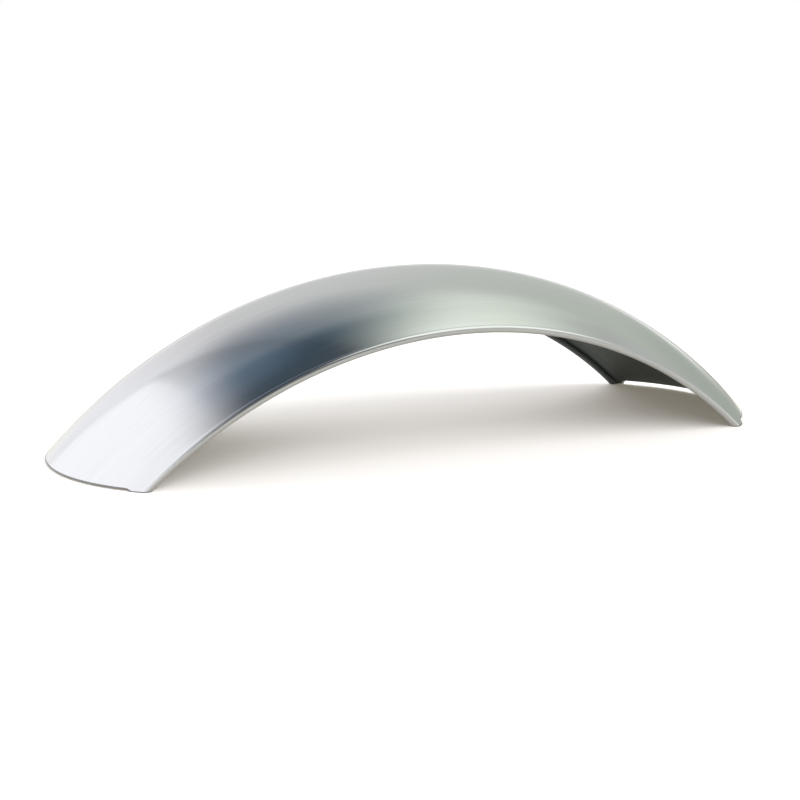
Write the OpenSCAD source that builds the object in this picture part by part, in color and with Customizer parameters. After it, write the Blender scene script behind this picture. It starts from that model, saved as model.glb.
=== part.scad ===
// Motorcycle rear fender made from one sheet of aluminium.
// The sheet is rolled to a round cross-section, bent to the arc of the wheel and curled
// inward along both long edges. Both ends are cut level, so it stands on its four curl ends.
// X runs along the fender, Y across it and Z up. The origin lies on the surface that the
// fender stands on, halfway between its two ends.

/* [Fender] */
// Width across the outer sides of the two curled edges
fender_w = 170; // [150:1:190]
// Height from the standing surface to the top of the crown
fender_h = 121; // [100:1:140]
// Radius of the crown line, from the wheel axle to the outer face
crown_r = 365; // [340:1:400]
// Outer radius of the rounded cross-section
section_r = 126; // [110:1:150]

/* [Sheet and edges] */
// Thickness of the sheet
sheet_t = 1.6; // [1.2:0.1:2]
// Outer diameter of the curl along each long edge
curl_d = 5.6; // [5:0.1:8]
// Distance that the curl stands out past the sheet's outer face
curl_step = 0.2; // [0.1:0.05:0.4]
// Gap between the end of the curl and the sheet's inner face
curl_gap = 0.4; // [0.2:0.05:0.6]

/* [Ends] */
// Height of the sheet's left end edge above the curl ends
left_lift = 1.2; // [0.6:0.1:4]
// Height of the sheet's right end edge above the curl ends
right_lift = 3.2; // [0.6:0.1:4]
// Width of the sloped corner between an end edge and a curl
corner_w = 3; // [1:0.5:8]

/* [Hidden] */

curl_r = curl_d / 2;
curl_hole_r = curl_r - sheet_t;

// Depth of the wheel axle below the standing surface
axle_drop = crown_r - fender_h;
// Distance from the axle to the centre of the cross-section's arc
section_centre = crown_r - section_r;
// Distance from that centre to the middle of each curl, and the angle of its direction
curl_dist = section_r - curl_r + curl_step;
curl_angle = asin((fender_w / 2 - curl_r) / curl_dist);
// The bend runs this far to each side of the top, a little past the standing surface
bend_angle = acos(axle_drop / crown_r) + 3;
// Inner sides of the curls, where the end edges start
end_half_w = fender_w / 2 - curl_d;
// The higher end edge is the shorter one, so the top lies a little off the middle
left_reach = sqrt(pow(crown_r, 2) - pow(axle_drop + left_lift, 2));
right_reach = sqrt(pow(crown_r, 2) - pow(axle_drop + right_lift, 2));
top_x = (left_reach - right_reach) / 2;

// Smoothness of the small circles and of the large ones
curl_fn = 64;
arc_fn = 256;

// Wedge of a circle around the origin, between two angles from the X axis
module wedge(from_angle, to_angle, reach) {
    middle = (from_angle + to_angle) / 2;
    polygon([
        [0, 0],
        reach * [cos(from_angle), sin(from_angle)],
        reach * [cos(middle), sin(middle)] / cos((to_angle - from_angle) / 2),
        reach * [cos(to_angle), sin(to_angle)]
    ]);
}

// Arc of a band around the origin, of the given outer radius and thickness
module band(outer_r, thickness, from_angle, to_angle) {
    intersection() {
        difference() {
            circle(r = outer_r, $fn = arc_fn);
            circle(r = outer_r - thickness, $fn = arc_fn);
        }
        wedge(from_angle, to_angle, 2 * outer_r);
    }
}

module at_curl(side) {
    translate(curl_dist * [cos(curl_angle), side * sin(curl_angle)]) children();
}

// Slot beside the sheet's inner face, where the curled edge comes back to it
module curl_slot(side) {
    slot_angle = curl_d / section_r * 180 / PI;
    mirror([0, side < 0 ? 1 : 0])
        band(section_r - sheet_t, curl_gap, curl_angle - slot_angle, curl_angle);
}

// Cross-section of the sheet with X away from the axle
module section() {
    translate([section_centre, 0]) difference() {
        union() {
            band(section_r, sheet_t, -curl_angle, curl_angle);
            for (side = [-1, 1]) at_curl(side) circle(r = curl_r, $fn = curl_fn);
        }
        for (side = [-1, 1]) {
            at_curl(side) circle(r = curl_hole_r, $fn = curl_fn);
            curl_slot(side);
        }
    }
}

// The section bent around the wheel axle
module bent_sheet() {
    translate([0, 0, -axle_drop])
        rotate([90, 0, 0])
            rotate_extrude(angle = 2 * bend_angle, start = 90 - bend_angle, $fn = arc_fn)
                section();
}

// Everything below the standing surface
module ground_cut() {
    translate([-crown_r, -fender_w, -crown_r]) cube([2 * crown_r, 2 * fender_w, crown_r]);
}

// Relief under one end edge, from curl to curl, with side -1 at the left and 1 at the right
module end_relief(side, lift) {
    rotate([90, 0, side * 90])
        linear_extrude(height = crown_r)
            polygon([
                [-end_half_w, -lift],
                [end_half_w, -lift],
                [end_half_w, 0],
                [end_half_w - corner_w, lift],
                [corner_w - end_half_w, lift],
                [-end_half_w, 0]
            ]);
}

module fender() {
    color("gainsboro")
        translate([top_x, 0, 0]) difference() {
            bent_sheet();
            ground_cut();
            end_relief(-1, left_lift);
            end_relief(1, right_lift);
        }
}

fender();
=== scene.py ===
import math
import bpy
import bmesh
from mathutils import Matrix, Vector


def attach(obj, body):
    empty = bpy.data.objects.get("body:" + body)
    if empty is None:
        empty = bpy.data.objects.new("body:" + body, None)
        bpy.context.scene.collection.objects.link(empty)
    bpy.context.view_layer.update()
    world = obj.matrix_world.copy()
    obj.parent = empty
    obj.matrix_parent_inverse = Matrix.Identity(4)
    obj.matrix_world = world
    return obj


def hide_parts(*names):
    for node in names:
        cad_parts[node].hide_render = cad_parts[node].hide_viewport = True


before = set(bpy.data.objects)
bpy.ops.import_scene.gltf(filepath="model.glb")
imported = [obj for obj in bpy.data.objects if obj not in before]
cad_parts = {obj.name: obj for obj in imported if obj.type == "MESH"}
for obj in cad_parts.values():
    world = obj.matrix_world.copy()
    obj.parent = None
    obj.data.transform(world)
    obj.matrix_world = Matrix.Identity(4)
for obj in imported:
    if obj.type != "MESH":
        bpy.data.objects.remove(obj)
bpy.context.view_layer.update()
scene = bpy.context.scene


# the photograph's camera: its place in metres, its turns in degrees and its lens in millimetres
camera = {
    "place": (-0.37151, -0.794, 0.22066),
    "yaw": 24.0748,
    "pitch": 12.8214,
    "roll": 0.5685,
    "lens": 54.815,
    "sensorWidth": 36.0,
    "nearClip": 0.01,
}


def makeCamera():
    data = bpy.data.cameras.new("photoCamera")
    data.lens = camera["lens"]
    data.sensor_width = camera["sensorWidth"]
    data.clip_start = camera["nearClip"]
    shooter = bpy.data.objects.new("photoCamera", data)
    turn = (
        Matrix.Rotation(math.radians(-camera["yaw"]), 4, "Z")
        @ Matrix.Rotation(math.radians(90 - camera["pitch"]), 4, "X")
        @ Matrix.Rotation(math.radians(camera["roll"]), 4, "Z")
    )
    shooter.matrix_world = Matrix.Translation(camera["place"]) @ turn
    scene.collection.objects.link(shooter)
    scene.camera = shooter
    print("camera set")


# the sheet, its curled edges and its cut ends, in metres and degrees; the satin skin runs on
# over each curl's top down to satinStop, below which the curl's outside has a darker colour that
# is painted shade, and the last two are shares of the curl's radius
fender = {
    "halfWidth": 0.085,
    "height": 0.121,
    "crownRadius": 0.365,
    "sectionRadius": 0.126,
    "sheet": 0.0016,
    "curlRadius": 0.0028,
    "curlStep": 0.0002,
    "curlGap": 0.0004,
    "leftLift": 0.0012,
    "rightLift": 0.0032,
    "cornerWidth": 0.003,
    "lengthSteps": 168,
    "archSteps": 60,
    "edgeSteps": 2,
    "curlSteps": 40,
    "holeSteps": 30,
    "mergeDistance": 1e-6,
    "edgeBreak": 0.00018,
    "breakSteps": 2,
    "sharpAngle": 17.0,
    "satinStop": 9.0,
    "curlMargin": 1.01,
    "outsideReach": 0.4,
}


def cornerAngle(side, other, far):
    # angle of a triangle between two of its sides, across from the third
    return math.acos((side ** 2 + other ** 2 - far ** 2) / (2 * side * other))


def fenderPlaces(size):
    # the plane of the section lies across the crown, with the axle far below it
    place = {}
    place["axle"] = size["height"] - size["crownRadius"]
    place["ring"] = size["crownRadius"] - size["sectionRadius"]
    place["reach"] = size["sectionRadius"] - size["curlRadius"] + size["curlStep"]
    place["tilt"] = math.asin((size["halfWidth"] - size["curlRadius"]) / place["reach"])
    place["innerRadius"] = size["sectionRadius"] - size["sheet"]
    place["gapRadius"] = place["innerRadius"] - size["curlGap"]
    place["holeRadius"] = size["curlRadius"] - size["sheet"]
    place["endHalf"] = size["halfWidth"] - 2 * size["curlRadius"]
    place["cornerHalf"] = place["endHalf"] - size["cornerWidth"]
    axleDrop = -place["axle"]
    leftReach = math.sqrt(size["crownRadius"] ** 2 - (axleDrop + size["leftLift"]) ** 2)
    rightReach = math.sqrt(size["crownRadius"] ** 2 - (axleDrop + size["rightLift"]) ** 2)
    place["middle"] = (leftReach - rightReach) / 2
    place["bend"] = math.acos(axleDrop / size["crownRadius"])
    return place


def drawArc(bm, start, centre, turn, steps):
    # draws the section on from a vertex and gives the vertex at the arc's end
    drawn = bmesh.ops.spin(
        bm, geom=[start], cent=centre, axis=(1, 0, 0), dvec=(0, 0, 0),
        angle=turn, steps=steps, use_merge=False, use_duplicate=False,
    )
    ends = [part for part in drawn["geom_last"] if isinstance(part, bmesh.types.BMVert)]
    return ends[0]


def drawSheetArc(bm, start, centre, stops, steps):
    # an arc about the section's centre that stops at each of the given angles from the crown
    at = start
    for begin, end, count in zip(stops[:-1], stops[1:], steps):
        at = drawArc(bm, at, centre, begin - end, count)
    return at


def drawHalfSection(bm, size, place):
    # one half of the sheet's closed outline, from the crown out to the curl and back
    centre = Vector((place["middle"], 0, place["axle"] + place["ring"]))
    outwards = Vector((0, math.sin(place["tilt"]), math.cos(place["tilt"])))
    reach = place["reach"]
    curlCentre = centre + reach * outwards
    outer = size["sectionRadius"]
    inner = place["innerRadius"]
    gap = place["gapRadius"]
    curl = size["curlRadius"]
    hole = place["holeRadius"]
    fullTurn = 2 * math.pi

    # where the sheet runs into the curl, outside and inside
    outerEnd = place["tilt"] - cornerAngle(outer, reach, curl)
    innerEnd = place["tilt"] - cornerAngle(inner, reach, hole)
    corners = (place["cornerHalf"], place["endHalf"])
    outerStops = [0] + [math.asin(half / outer) for half in corners] + [outerEnd]
    innerStops = [innerEnd] + [math.asin(half / inner) for half in corners[::-1]] + [0]
    steps = [size["archSteps"] // 2, size["edgeSteps"], size["edgeSteps"]]

    # directions seen from the curl's centre, turned from the section's radius towards the crown
    outerMeets = math.pi - cornerAngle(reach, curl, outer)
    lipStarts = math.pi - cornerAngle(reach, curl, gap)
    lipEnds = math.pi - cornerAngle(reach, hole, gap)
    innerMeets = math.pi - cornerAngle(reach, hole, inner)
    lipTurn = cornerAngle(gap, reach, hole) - cornerAngle(gap, reach, curl)

    top = bmesh.ops.create_vert(bm, co=centre + Vector((0, 0, outer)))["vert"][0]
    at = drawSheetArc(bm, top, centre, outerStops, steps)
    at = drawArc(bm, at, curlCentre, lipStarts - outerMeets - fullTurn, size["curlSteps"])
    at = drawArc(bm, at, centre, lipTurn, size["edgeSteps"])
    at = drawArc(bm, at, curlCentre, fullTurn - lipEnds + innerMeets, size["holeSteps"])
    drawSheetArc(bm, at, centre, innerStops, steps[::-1])


def endHeight(size, place, across, side):
    # height of the cut above the floor: the curls reach it, the sheet between them stops short
    lift = size["leftLift"] if side < 0 else size["rightLift"]
    slope = (place["endHalf"] - abs(across)) / size["cornerWidth"]
    return lift * min(max(slope, 0.0), 1.0)


def fromAxle(place, at):
    # how far a point lies from the wheel axle, along the fender and upwards
    return at.x - place["middle"], at.z - place["axle"]


def levelTheEnds(bm, size, place):
    # spreads the rings evenly along the arc, so that the first and last lie in the level cuts
    for vert in bm.verts:
        sideways, upwards = fromAxle(place, vert.co)
        radius = math.hypot(sideways, upwards)
        share = math.atan2(sideways, upwards) / place["bend"]
        side = -1 if share < 0 else 1
        cut = endHeight(size, place, vert.co.y, side) - place["axle"]
        turn = share * math.acos(cut / radius)
        vert.co.x = place["middle"] + radius * math.sin(turn)
        vert.co.z = place["axle"] + radius * math.cos(turn)


def paintFaces(bm, size, place, ends):
    # gives each face its finish, by whether its middle lies on a cut, a curl or the sheet
    slots = {name: index for index, name in enumerate(finishes)}
    curl = size["curlRadius"]
    skinMiddle = size["sectionRadius"] - size["sheet"] / 2
    curlMiddle = curl - size["sheet"] / 2
    satinEnds = curl * math.sin(math.radians(size["satinStop"]))
    curlAcross = place["reach"] * math.sin(place["tilt"])
    curlOut = place["ring"] + place["reach"] * math.cos(place["tilt"])
    for face in bm.faces:
        at = face.calc_center_median()
        across = abs(at.y) - curlAcross
        out = math.hypot(*fromAxle(place, at))
        fromCurl = math.hypot(across, out - curlOut)
        face.smooth = face not in ends
        # the inner skin and the insides of the curls take a dark colour that paints the shade in the
        # hollow, and the curls' outsides below satinStop a darker colour that paints the shade under
        # them
        if face in ends:
            finish = "cutEdge"
        elif fromCurl < curl * size["curlMargin"]:
            onOutside = fromCurl > curlMiddle and across > -curl * size["outsideReach"]
            onTop = onOutside and across > 0 and out - curlOut > satinEnds
            finish = "satinOuter" if onTop else "curlUnderPaintedShade" if onOutside else "innerSkinPaintedShade"
        else:
            fromRing = math.hypot(at.y, out - place["ring"])
            finish = "satinOuter" if fromRing > skinMiddle else "innerSkinPaintedShade"
        face.material_index = slots[finish]


def layMaps(bm, size, place):
    # maps in metres: along the arc and across the sheet, which the brushing follows, and
    # how far a point lies from the nearest cut end
    layer = bm.loops.layers.uv.new("alongTheArc")
    rimLayer = bm.loops.layers.uv.new("fromTheCut")
    for face in bm.faces:
        for loop in face.loops:
            at = loop.vert.co
            sideways, upwards = fromAxle(place, at)
            radius = math.hypot(sideways, upwards)
            along = math.atan2(sideways, upwards) * size["crownRadius"]
            across = math.atan2(at.y, radius - place["ring"]) * size["sectionRadius"]
            loop[layer].uv = (along, across)
            side = -1 if sideways < 0 else 1
            cut = endHeight(size, place, at.y, side) - place["axle"]
            fromCut = (math.acos(cut / radius) - math.atan2(abs(sideways), upwards)) * radius
            loop[rimLayer].uv = (max(fromCut, 0.0), 0.0)


def makeFender():
    size = fender
    place = fenderPlaces(size)
    bm = bmesh.new()
    drawHalfSection(bm, size, place)
    bmesh.ops.mirror(
        bm, geom=bm.verts[:] + bm.edges[:], matrix=Matrix.Identity(4), axis="Y",
        merge_dist=size["mergeDistance"],
    )
    bmesh.ops.remove_doubles(bm, verts=bm.verts[:], dist=size["mergeDistance"])

    # the whole section goes to the left end and sweeps to the right one, and its rims are filled
    axle = Vector((place["middle"], 0, place["axle"]))
    toLeftEnd = Matrix.Rotation(-place["bend"], 3, "Y")
    bmesh.ops.rotate(bm, verts=bm.verts[:], cent=axle, matrix=toLeftEnd)
    bmesh.ops.spin(
        bm, geom=bm.edges[:], cent=axle, axis=(0, 1, 0), dvec=(0, 0, 0), angle=2 * place["bend"],
        steps=size["lengthSteps"], use_merge=False, use_duplicate=False,
    )
    rims = [edge for edge in bm.edges if edge.is_boundary]
    bmesh.ops.edgeloop_fill(bm, edges=rims)
    bmesh.ops.recalc_face_normals(bm, faces=bm.faces[:])
    broken = bmesh.ops.bevel(
        bm, geom=rims, offset=size["edgeBreak"], offset_type="OFFSET", segments=size["breakSteps"],
        profile=0.5, affect="EDGES", clamp_overlap=True, material=-1,
    )
    levelTheEnds(bm, size, place)

    # only the faces that fill the two ends have more than four corners
    ends = [face for face in bm.faces if len(face.verts) > 4]
    cut = set(bmesh.ops.triangulate(bm, faces=ends)["faces"]) | set(broken["faces"])
    paintFaces(bm, size, place, cut)
    layMaps(bm, size, place)
    sharp = math.radians(size["sharpAngle"])
    for edge in bm.edges:
        edge.smooth = edge.calc_face_angle() < sharp
    mesh = bpy.data.meshes.new("fenderSheet")
    bm.to_mesh(mesh)
    volume = round(bm.calc_volume() * 1000 ** 3)
    closed = all(edge.is_manifold for edge in bm.edges)
    print("fender: volume", volume, "mm3, closed", closed, "faces", len(bm.faces))
    bm.free()
    piece = bpy.data.objects.new("fender_sheet", mesh)
    scene.collection.objects.link(piece)
    return piece, place


# small helpers for node trees
def addNode(tree, kind, **settings):
    made = tree.nodes.new(kind)
    for name, value in settings.items():
        setattr(made, name, value)
    return made


def feed(tree, socket, value):
    if isinstance(value, bpy.types.NodeSocket):
        tree.links.new(value, socket)
    else:
        socket.default_value = value


def maths(tree, operation, *values, clamp=False):
    made = addNode(tree, "ShaderNodeMath", operation=operation, use_clamp=clamp)
    for socket, value in zip(made.inputs, values):
        feed(tree, socket, value)
    return made.outputs[0]


def vectorMaths(tree, operation, *values):
    made = addNode(tree, "ShaderNodeVectorMath", operation=operation)
    for socket, value in zip(made.inputs, values):
        feed(tree, socket, value)
    return made.outputs["Value" if operation == "DOT_PRODUCT" else "Vector"]


def blendRange(tree, value, low, high, toLow=0.0, toHigh=1.0):
    made = addNode(tree, "ShaderNodeMapRange", interpolation_type="SMOOTHSTEP")
    feed(tree, made.inputs["Value"], value)
    made.inputs["From Min"].default_value = low
    made.inputs["From Max"].default_value = high
    made.inputs["To Min"].default_value = toLow
    made.inputs["To Max"].default_value = toHigh
    return made.outputs["Result"]


def mixColour(tree, share, first, second, blend="MIX"):
    # inputs 6 and 7 of a Mix node are its two colours, and output 2 is the mixed one
    made = addNode(tree, "ShaderNodeMix", data_type="RGBA", blend_type=blend)
    feed(tree, made.inputs[0], share)
    feed(tree, made.inputs[6], first)
    feed(tree, made.inputs[7], second)
    return made.outputs[2]


def addLight(tree, share, under, light):
    return mixColour(tree, share, under, light, "ADD")


def arcCoordinates(tree, place):
    # object coordinates unrolled: metres along the arc, across it and out from the axle
    at = addNode(tree, "ShaderNodeTexCoord").outputs["Object"]
    parts = addNode(tree, "ShaderNodeSeparateXYZ")
    tree.links.new(at, parts.inputs[0])
    sideways = maths(tree, "SUBTRACT", parts.outputs[0], place["middle"])
    upwards = maths(tree, "SUBTRACT", parts.outputs[2], place["axle"])
    turn = maths(tree, "ARCTAN2", sideways, upwards)
    along = maths(tree, "MULTIPLY", turn, fender["crownRadius"])
    square = maths(tree, "ADD", maths(tree, "MULTIPLY", sideways, sideways),
                   maths(tree, "MULTIPLY", upwards, upwards))
    out = maths(tree, "SQRT", square)
    joined = addNode(tree, "ShaderNodeCombineXYZ")
    for socket, value in zip(joined.inputs, (along, parts.outputs[1], out)):
        tree.links.new(value, socket)
    return joined.outputs[0]


def stretched(tree, where, lengthwise):
    made = addNode(tree, "ShaderNodeMapping", vector_type="POINT")
    tree.links.new(where, made.inputs["Vector"])
    made.inputs["Scale"].default_value = (1.0 / lengthwise, 1.0, 1.0)
    return made.outputs[0]


def newGroup(name, wanted, given):
    tree = bpy.data.node_groups.new(name, "ShaderNodeTree")
    for label, value in wanted.items():
        socket = tree.interface.new_socket(label, in_out="INPUT", socket_type="NodeSocketFloat")
        socket.default_value = value
    for label, kind in given.items():
        tree.interface.new_socket(label, in_out="OUTPUT", socket_type=kind)
    return tree, tree.nodes.new("NodeGroupInput"), tree.nodes.new("NodeGroupOutput")


# what the brushing of all finishes shares: the inputs of its node group as they start, how far
# the lines and clouds stretch along the arc, how strongly the lines count against the clouds,
# the band in which the roughness changes, the lines' depth in metres, and the share of a full
# turn that the stretched gloss is turned by
brushing = {
    "inputs": {"Fineness": 900.0, "Cloud Size": 22.0, "Contrast": 1.0},
    "lineStretch": 36.0,
    "lineDetail": 3.0,
    "lineRoughness": 0.6,
    "cloudStretch": 5.0,
    "cloudDetail": 2.0,
    "lineShare": 0.6,
    "roughBand": (0.3, 0.7),
    "bumpDepth": 0.0002,
    "glossTurn": 0.25,
}


def makeGrainGroup(place):
    # fine lines left by brushing along the arc, with broad cloudy patches between them
    given = {"Streak": "NodeSocketFloat", "Cloud": "NodeSocketFloat", "Height": "NodeSocketFloat"}
    tree, source, sink = newGroup("brushedGrain", brushing["inputs"], given)
    where = arcCoordinates(tree, place)
    lines = addNode(tree, "ShaderNodeTexNoise", noise_dimensions="3D")
    tree.links.new(stretched(tree, where, brushing["lineStretch"]), lines.inputs["Vector"])
    tree.links.new(source.outputs["Fineness"], lines.inputs["Scale"])
    lines.inputs["Detail"].default_value = brushing["lineDetail"]
    lines.inputs["Roughness"].default_value = brushing["lineRoughness"]
    broad = addNode(tree, "ShaderNodeTexNoise", noise_dimensions="3D")
    tree.links.new(stretched(tree, where, brushing["cloudStretch"]), broad.inputs["Vector"])
    tree.links.new(source.outputs["Cloud Size"], broad.inputs["Scale"])
    broad.inputs["Detail"].default_value = brushing["cloudDetail"]
    centred = maths(tree, "SUBTRACT", lines.outputs[0], 0.5)
    strong = maths(tree, "MULTIPLY", centred, source.outputs["Contrast"])
    tree.links.new(maths(tree, "ADD", strong, 0.5, clamp=True), sink.inputs["Streak"])
    tree.links.new(broad.outputs[0], sink.inputs["Cloud"])
    tree.links.new(lines.outputs[0], sink.inputs["Height"])
    return tree


# finishes of the outer skin, the inner skin, the cut edges and the outside of the curls; the inner
# skin's dark colour is painted shade for the hollow, and the curls' darker outside below the satin
# is painted shade; each goes from its colour to its 'shade', a darker tone of the brushing, and
# from its first roughness to its second as the brushing weakens, and a painted shade line, the
# shadow under the cut ends, fades out between two distances from the cut
finishes = {
    "satinOuter": {
        "colour": (0.86, 0.865, 0.865, 1.0), "shade": (0.765, 0.77, 0.77, 1.0), "metal": 1.0,
        "rough": (0.13, 0.19), "fineness": 800.0, "contrast": 1.3, "bump": 0.07, "anisotropic": 0.5,
        "cutShadeLine": (0.22, 0.22, 0.22, 1.0), "cutShadeLineWidth": (0.0007, 0.0013),
    },
    # the inner skin: its dark colour is painted shade for the inside of the hollow; its roughness and
    # bump are the mill finish
    "innerSkinPaintedShade": {
        "colour": (0.16, 0.175, 0.168, 1.0), "shade": (0.11, 0.122, 0.116, 1.0), "metal": 0.6,
        "rough": (0.42, 0.60), "fineness": 500.0, "contrast": 0.8, "bump": 0.15, "anisotropic": 0.0,
    },
    "cutEdge": {
        "colour": (0.42, 0.42, 0.42, 1.0), "shade": (0.30, 0.305, 0.31, 1.0), "metal": 1.0,
        "rough": (0.30, 0.46), "fineness": 1400.0, "contrast": 1.0, "bump": 0.25, "anisotropic": 0.0,
    },
    # the curls' outside below the satin: its darker colour is painted shade under the curl; its higher
    # roughness is the finish
    "curlUnderPaintedShade": {
        "colour": (0.56, 0.565, 0.56, 1.0), "shade": (0.50, 0.505, 0.50, 1.0), "metal": 1.0,
        "rough": (0.34, 0.42), "fineness": 900.0, "contrast": 1.0, "bump": 0.03, "anisotropic": 0.3,
        "cutShadeLine": (0.22, 0.22, 0.22, 1.0), "cutShadeLineWidth": (0.0007, 0.0013),
    },
}


def makeFinish(name, look, grain):
    material = bpy.data.materials.new(name)
    material.use_nodes = True
    tree = material.node_tree
    shader = tree.nodes["Principled BSDF"]
    lines = addNode(tree, "ShaderNodeGroup", node_tree=grain)
    lines.inputs["Fineness"].default_value = look["fineness"]
    lines.inputs["Contrast"].default_value = look["contrast"]
    clouds = maths(tree, "MULTIPLY", lines.outputs["Cloud"], 1 - brushing["lineShare"])
    both = maths(tree, "MULTIPLY_ADD", lines.outputs["Streak"], brushing["lineShare"], clouds)
    colour = mixColour(tree, both, look["shade"], look["colour"])
    if "cutShadeLine" in look:
        # a painted shade line along the cut ends, which stands in for the shadow in the gap under them
        rimMap = addNode(tree, "ShaderNodeUVMap", uv_map="fromTheCut")
        rimParts = addNode(tree, "ShaderNodeSeparateXYZ")
        tree.links.new(rimMap.outputs[0], rimParts.inputs[0])
        onCutShadeLine = blendRange(tree, rimParts.outputs[0], *look["cutShadeLineWidth"], 1.0, 0.0)
        colour = mixColour(tree, onCutShadeLine, colour, look["cutShadeLine"])
    tree.links.new(colour, shader.inputs["Base Color"])
    rough = blendRange(tree, both, *brushing["roughBand"], *reversed(look["rough"]))
    tree.links.new(rough, shader.inputs["Roughness"])
    shader.inputs["Metallic"].default_value = look["metal"]
    shader.inputs["Anisotropic"].default_value = look["anisotropic"]
    shader.inputs["Anisotropic Rotation"].default_value = brushing["glossTurn"]
    bump = addNode(tree, "ShaderNodeBump")
    bump.inputs["Strength"].default_value = look["bump"]
    bump.inputs["Distance"].default_value = brushing["bumpDepth"]
    tree.links.new(lines.outputs["Height"], bump.inputs["Height"])
    tree.links.new(bump.outputs[0], shader.inputs["Normal"])
    if look["anisotropic"] > 0:
        tangent = addNode(tree, "ShaderNodeTangent", direction_type="UV_MAP", uv_map="alongTheArc")
        tree.links.new(tangent.outputs[0], shader.inputs["Tangent"])
    return material


# the studio around the fender, as zones by direction: a pale room that is duller at the far
# right, darkness overhead on the photographer's side, a lamp's face with its glow and a gap
# beside it, a bluish ceiling with a spill of light, a white wall at the left with a lit panel
# that ends at the room's corner, and a white horizon except at the low right

# a zone faces an azimuth and an elevation, and its edge runs from where it fades in to where
# it is full, or would be past 1: as cosines of the angle to that direction or, for the wall and
# the panel, as heights below their level top edge; a rise is a direction's height, up to 1
studio = {
    "back": (0.69, 0.68, 0.70, 1.0),
    "right": {"colour": (0.485, 0.536, 0.47, 1.0), "facing": (60.0, 0.0), "edge": (-0.79, 0.71)},
    "front": {"colour": (0.50, 0.51, 0.50, 1.0), "facing": (0.0, 0.0), "edge": (-0.30, -0.18)},
    "dark": {"colour": (0.05, 0.053, 0.055, 1.0), "rise": (0.5, 0.8)},
    "farRight": {"colour": (0.405, 0.448, 0.395, 1.0), "facing": (114.0, 3.0), "edge": (0.91, 1.0)},
    "glow": {"colour": (0.89, 0.965, 0.865, 1.0), "facing": (95.0, 62.0), "edge": (0.86, 1.025)},
    "lampFace": {"colour": (1.1, 1.15, 1.08, 1.0), "facing": (44.0, 50.0), "edge": (0.868, 0.957)},
    "gap": {"colour": (0.13, 0.14, 0.15, 1.0), "facing": (-6.0, 22.0), "edge": (0.85, 0.96)},
    "ceiling": {"colour": (0.052, 0.102, 0.156, 1.0), "facing": (-140.0, 68.0), "edge": (0.737, 1.11)},
    "spill": {"light": (0.045, 0.057, 0.078, 1.0), "facing": (-118.0, 65.0), "edge": (0.94, 0.995)},
    "wall": {"colour": (0.955, 0.955, 0.995, 1.0), "facing": (-94.0, 0.0), "steep": 1.96,
             "edge": (-0.36, 0.36)},
    "panel": {"light": (0.17, 0.17, 0.178, 1.0), "facing": (-88.0, 0.0), "steep": 2.0,
              "edge": (-0.03, 0.03)},
    "panelGlow": {"facing": (-130.0, 0.0), "edge": (0.05, 0.7)},
    "corner": {"colour": (0.0, 0.0, 0.0, 1.0), "azimuth": -159.5, "step": 0.008, "line": 0.03,
               "lineDepth": 0.24, "shade": 0.16, "shadeReach": 0.25},
    "horizon": {"colour": (1.0, 1.0, 1.0, 1.0), "rise": (0.095, 0.11)},
    "lowRight": {"facing": (100.0, 0.0), "edge": (0.82, 0.93)},
}


def towards(azimuth, elevation=0.0):
    # unit direction, with azimuth 0 towards the photographer and 90 to the right
    flat = math.cos(math.radians(elevation))
    return (
        flat * math.sin(math.radians(azimuth)),
        -flat * math.cos(math.radians(azimuth)),
        math.sin(math.radians(elevation)),
    )


def facingShare(tree, ray, zone):
    # how far a direction, or a place on the floor in metres, lies inside a zone, from 0 to 1
    facing = vectorMaths(tree, "DOT_PRODUCT", ray, towards(*zone["facing"]))
    return blendRange(tree, facing, *zone["edge"])


def wallShare(tree, ray, rise, zone):
    # a wall seen from the fender, whose top edge runs level
    facing = vectorMaths(tree, "DOT_PRODUCT", ray, towards(*zone["facing"]))
    below = maths(tree, "SUBTRACT", maths(tree, "MULTIPLY", facing, zone["steep"]), rise)
    return blendRange(tree, below, *zone["edge"])


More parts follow.
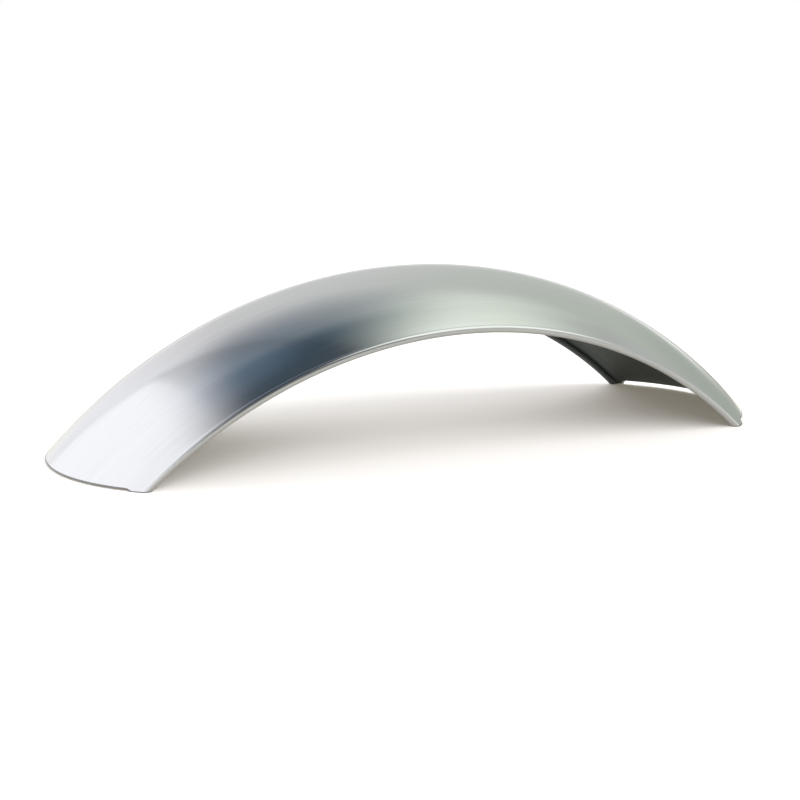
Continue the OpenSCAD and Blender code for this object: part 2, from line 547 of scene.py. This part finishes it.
def makeStudio():
    world = bpy.data.worlds.new("studio")
    scene.world = world
    world.use_nodes = True
    tree = world.node_tree
    background = tree.nodes["Background"]
    ray = vectorMaths(tree, "NORMALIZE", addNode(tree, "ShaderNodeTexCoord").outputs["Generated"])
    parts = addNode(tree, "ShaderNodeSeparateXYZ")
    tree.links.new(ray, parts.inputs[0])
    rise = parts.outputs[2]

    # the pale room
    right = studio["right"]
    room = mixColour(tree, facingShare(tree, ray, right), studio["back"], right["colour"])
    onFront = facingShare(tree, ray, studio["front"])
    room = mixColour(tree, onFront, room, studio["front"]["colour"])

    # darkness overhead on the photographer's side, then what the room holds
    dark = studio["dark"]
    overhead = maths(tree, "MULTIPLY", onFront, blendRange(tree, rise, *dark["rise"]))
    room = mixColour(tree, overhead, room, dark["colour"])
    for name in ("farRight", "glow", "gap", "lampFace", "ceiling"):
        room = mixColour(tree, facingShare(tree, ray, studio[name]), room, studio[name]["colour"])
    room = addLight(tree, facingShare(tree, ray, studio["spill"]), room, studio["spill"]["light"])

    # the white wall at the left, and the lit panel on it, which ends crisply
    wall = studio["wall"]
    room = mixColour(tree, wallShare(tree, ray, rise, wall), room, wall["colour"])
    corner = studio["corner"]
    pastCorner = vectorMaths(tree, "DOT_PRODUCT", ray, towards(corner["azimuth"] + 90))
    onSide = blendRange(tree, pastCorner, -corner["step"], corner["step"])
    onPanel = maths(tree, "MULTIPLY", wallShare(tree, ray, rise, studio["panel"]), onSide)
    lit = maths(tree, "MULTIPLY", onPanel, facingShare(tree, ray, studio["panelGlow"]))
    room = addLight(tree, lit, room, studio["panel"]["light"])

    # the room's corner: a thin dark line, and above the panel a shade that fades away from it
    line = maths(tree, "MULTIPLY", blendRange(tree, pastCorner, -corner["line"], 0.0),
                 blendRange(tree, pastCorner, 0.0, corner["line"], 1.0, 0.0))
    shade = maths(tree, "MULTIPLY", maths(tree, "SUBTRACT", onSide, onPanel),
                  blendRange(tree, pastCorner, 0.0, corner["shadeReach"], 1.0, 0.0))
    shade = maths(tree, "MULTIPLY", shade, corner["shade"])
    shade = maths(tree, "MULTIPLY_ADD", line, corner["lineDepth"], shade)
    room = mixColour(tree, shade, room, corner["colour"])

    # white round the horizon except at the low right, and everywhere for the camera
    horizon = studio["horizon"]
    low = blendRange(tree, rise, *horizon["rise"], 1.0, 0.0)
    notRight = maths(tree, "SUBTRACT", 1.0, facingShare(tree, ray, studio["lowRight"]))
    room = mixColour(tree, maths(tree, "MULTIPLY", low, notRight), room, horizon["colour"])
    paths = addNode(tree, "ShaderNodeLightPath")
    seen = maths(tree, "MAXIMUM", paths.outputs["Is Camera Ray"], paths.outputs["Is Transmission Ray"])
    room = mixColour(tree, seen, room, horizon["colour"])
    tree.links.new(room, background.inputs["Color"])
    background.inputs["Strength"].default_value = 1.0
    print("studio lit")


# soft lamps that wash the white floor alone, each from an azimuth and an elevation
lamps = {
    "lowFront": {"energy": 1.45, "spread": 50.0, "from": (0.0, 30.0)},
    "lowBack": {"energy": 1.2, "spread": 50.0, "from": (180.0, 28.5)},
    "softRight": {"energy": 1.2, "spread": 45.0, "from": (60.0, 42.0)},
    "softLeft": {"energy": 0.55, "spread": 40.0, "from": (-135.0, 45.0)},
}


def makeLamps(ground):
    washed = bpy.data.collections.new("washedFloor")
    washed.objects.link(ground)
    for name, look in lamps.items():
        light = bpy.data.lights.new(name, "SUN")
        light.energy = look["energy"]
        light.angle = math.radians(look["spread"])
        lamp = bpy.data.objects.new(name, light)
        lamp.rotation_euler = Vector(towards(*look["from"])).to_track_quat("Z", "Y").to_euler()
        lamp.visible_glossy = False
        lamp.light_linking.receiver_collection = washed
        scene.collection.objects.link(lamp)
    print("lamps set:", len(lamps))


# the floor; metal sees it a little darker, so that the wash doesn't reach the fender, with a
# grey card that starts a few decimetres to the right, and the floor's own faint light keeps
# the shadow soft and warm
floor = {
    "half": 12.0,
    "squares": 8,
    "rough": 0.9,
    "colour": (0.935, 0.911, 0.92, 1.0),
    "mirrored": (0.62, 0.61, 0.59, 1.0),
    "card": {"colour": (0.24, 0.25, 0.235, 1.0), "facing": (112.0, 0.0), "edge": (0.25, 0.42)},
    "lift": 0.13,
    "liftColour": (1.0, 0.88, 0.62, 1.0),
}


def makeFloor():
    bm = bmesh.new()
    squares = floor["squares"]
    bmesh.ops.create_grid(bm, x_segments=squares, y_segments=squares, size=floor["half"])
    mesh = bpy.data.meshes.new("studioFloor")
    bm.to_mesh(mesh)
    bm.free()
    ground = bpy.data.objects.new("studioFloor", mesh)
    scene.collection.objects.link(ground)
    material = bpy.data.materials.new("whiteFloor")
    material.use_nodes = True
    tree = material.node_tree
    shader = tree.nodes["Principled BSDF"]
    shader.inputs["Roughness"].default_value = floor["rough"]
    shader.inputs["Specular IOR Level"].default_value = 0.0
    paths = addNode(tree, "ShaderNodeLightPath")
    where = addNode(tree, "ShaderNodeTexCoord").outputs["Object"]
    card = floor["card"]
    mirrored = mixColour(tree, facingShare(tree, where, card), floor["mirrored"], card["colour"])
    colour = mixColour(tree, paths.outputs["Is Glossy Ray"], floor["colour"], mirrored)
    tree.links.new(colour, shader.inputs["Base Color"])

    # the faint light shows to the camera, in metal and through a pane, but falls on nothing
    seen = maths(tree, "MAXIMUM", paths.outputs["Is Camera Ray"], paths.outputs["Is Glossy Ray"])
    seen = maths(tree, "MAXIMUM", seen, paths.outputs["Is Transmission Ray"])
    shader.inputs["Emission Color"].default_value = floor["liftColour"]
    tree.links.new(maths(tree, "MULTIPLY", seen, floor["lift"]), shader.inputs["Emission Strength"])
    mesh.materials.append(material)
    print("floor laid")
    return ground


scene.view_settings.view_transform = "Standard"
makeCamera()
fenderPiece, fenderPlace = makeFender()
grainGroup = makeGrainGroup(fenderPlace)
for finishName, finishLook in finishes.items():
    fenderPiece.data.materials.append(makeFinish(finishName, finishLook, grainGroup))
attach(fenderPiece, "root")
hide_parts("fender")
makeStudio()
floorPiece = makeFloor()
makeLamps(floorPiece)
